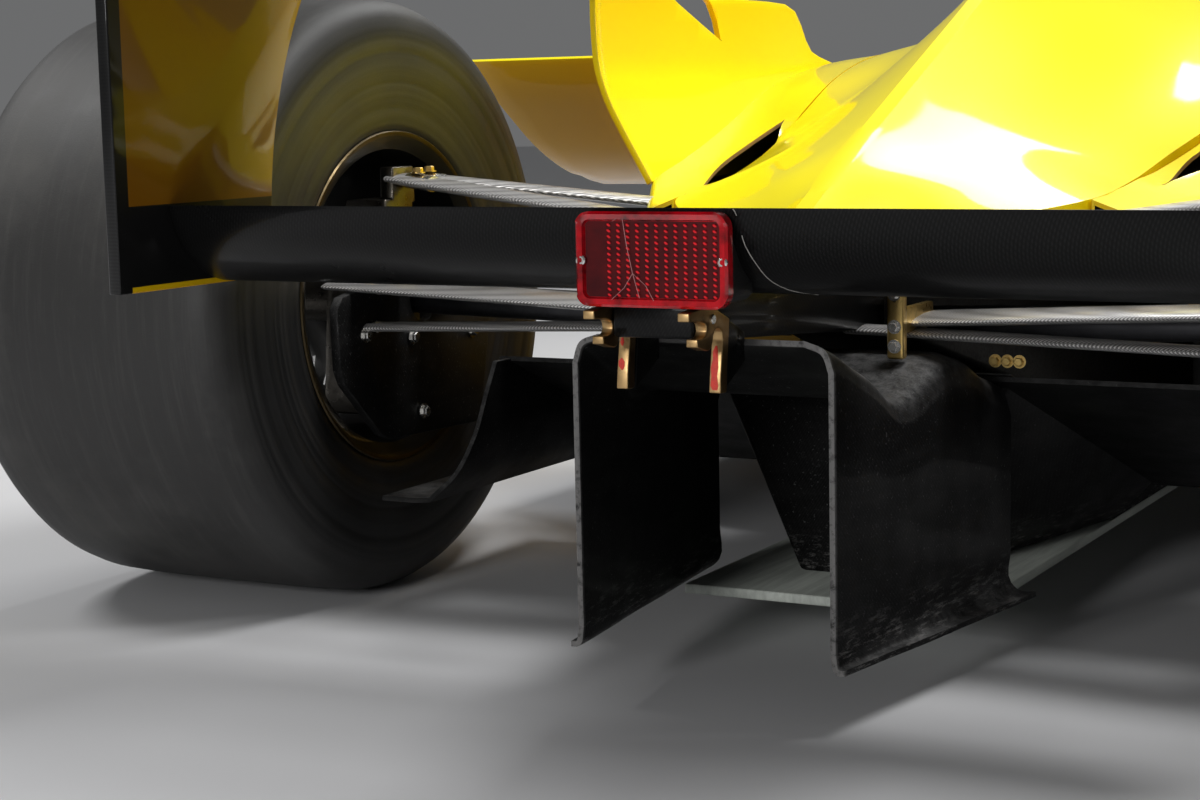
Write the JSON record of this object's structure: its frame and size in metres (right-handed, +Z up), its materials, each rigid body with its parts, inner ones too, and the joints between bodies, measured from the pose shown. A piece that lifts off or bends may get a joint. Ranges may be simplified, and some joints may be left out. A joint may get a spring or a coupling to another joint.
{
  "type": "open wheel racing car",
  "caption": "Single-seat open wheel racing car with yellow bodywork, black carbon wings and diffuser, slick tyres that roll and front wheels that steer.",
  "frame": {"origin": "on the ground, in the middle of the car's length and width", "axes": "+X to the car's left, +Y to its rear, +Z up"},
  "size_m": [1.798, 4.55, 0.95],
  "materials": {
    "yellow_paint": "glossy",
    "carbon": "glossy twill",
    "matt_carbon": "worn matt",
    "skid_board": "sealed",
    "tyre_rubber": "scuffed",
    "wheel_magnesium": "satin",
    "upright_metal": "machined",
    "arm_carbon": "silver weave",
    "bronze": "worn",
    "casting": "cast",
    "engine_metal": "cast",
    "shaft_steel": "satin",
    "lamp_red": "clear red",
    "lamp_plastic": "moulded",
    "seat_cloth": "woven",
    "headrest_cover": "padded",
    "clear_screen": "clear",
    "grip": "suede",
    "radiator_core": "finned"
  },
  "bodies": {
    "chassis": {"monocoque": "yellow_paint", "nose": "yellow_paint", "front_wing": "carbon", "front_wing_flaps": "yellow_paint", "front_end_plates": "yellow_paint", "engine_cover": "yellow_paint", "side_pods": "yellow_paint", "flip_ups": "yellow_paint", "floor": "matt_carbon", "plank": "skid_board", "diffuser": "matt_carbon", "engine": "engine_metal", "gearbox": "casting", "crash_structure": "carbon", "lamp_housing": "lamp_plastic", "lamp_lens": "lamp_red", "jacking_hooks": "bronze", "hook_fins": "carbon", "wing_beam": "carbon", "rear_wing": "carbon", "rear_wing_flap": "carbon", "rear_end_plates": "yellow_paint", "front_wishbones": "arm_carbon", "rear_wishbones": "arm_carbon", "drive_shafts": "shaft_steel", "rear_uprights": "upright_metal", "brake_ducts": "matt_carbon", "headrest": "headrest_cover", "seat": "seat_cloth", "windscreen": "clear_screen", "mirrors": "yellow_paint", "barge_boards": "carbon", "radiators": "radiator_core"},
    "steering_rack": {"track_rods": "shaft_steel"},
    "steering_wheel": {"steering_wheel": "grip"},
    "upright_front_left": {"front_upright_left": "upright_metal"},
    "upright_front_right": {"front_upright_right": "upright_metal"},
    "wheel_front_left": {"tyre_front_left": "tyre_rubber", "rim_front_left": "wheel_magnesium"},
    "wheel_front_right": {"tyre_front_right": "tyre_rubber", "rim_front_right": "wheel_magnesium"},
    "wheel_rear_left": {"tyre_rear_left": "tyre_rubber", "rim_rear_left": "wheel_magnesium"},
    "wheel_rear_right": {"tyre_rear_right": "tyre_rubber", "rim_rear_right": "wheel_magnesium"}
  },
  "joints": [
    {"name": "steer_left", "type": "hinge", "parent": "chassis", "child": "upright_front_left", "pos_m": [0.632, -1.295, 0.325], "axis": [0, 0, 1], "range_deg": [-15, 15]},
    {"name": "steer_right", "type": "hinge", "parent": "chassis", "child": "upright_front_right", "pos_m": [-0.632, -1.295, 0.325], "axis": [0, 0, 1], "range_deg": [-15, 15]},
    {"name": "rack_slide", "type": "slide", "parent": "chassis", "child": "steering_rack", "axis": [1, 0, 0], "range_m": [-0.03, 0.03]},
    {"name": "steering_wheel_turn", "type": "hinge", "parent": "chassis", "child": "steering_wheel", "pos_m": [0, -0.595, 0.52], "axis": [0, 1, 0], "range_deg": [-150, 150]},
    {"name": "roll_front_left", "type": "hinge", "parent": "upright_front_left", "child": "wheel_front_left", "pos_m": [0.75, -1.295, 0.325], "axis": [1, 0, 0], "continuous": true},
    {"name": "roll_rear_left", "type": "hinge", "parent": "chassis", "child": "wheel_rear_left", "pos_m": [0.715, 1.755, 0.33], "axis": [1, 0, 0], "continuous": true},
    {"name": "roll_front_right", "type": "hinge", "parent": "upright_front_right", "child": "wheel_front_right", "pos_m": [-0.75, -1.295, 0.325], "axis": [1, 0, 0], "continuous": true},
    {"name": "roll_rear_right", "type": "hinge", "parent": "chassis", "child": "wheel_rear_right", "pos_m": [-0.715, 1.755, 0.33], "axis": [1, 0, 0], "continuous": true}
  ],
  "couplings": [
    {"joint": "steer_right", "follows": "steer_left", "ratio": 1},
    {"joint": "rack_slide", "follows": "steer_left", "m_per_rad": 0.1087},
    {"joint": "steering_wheel_turn", "follows": "steer_left", "ratio": 10}
  ]
}
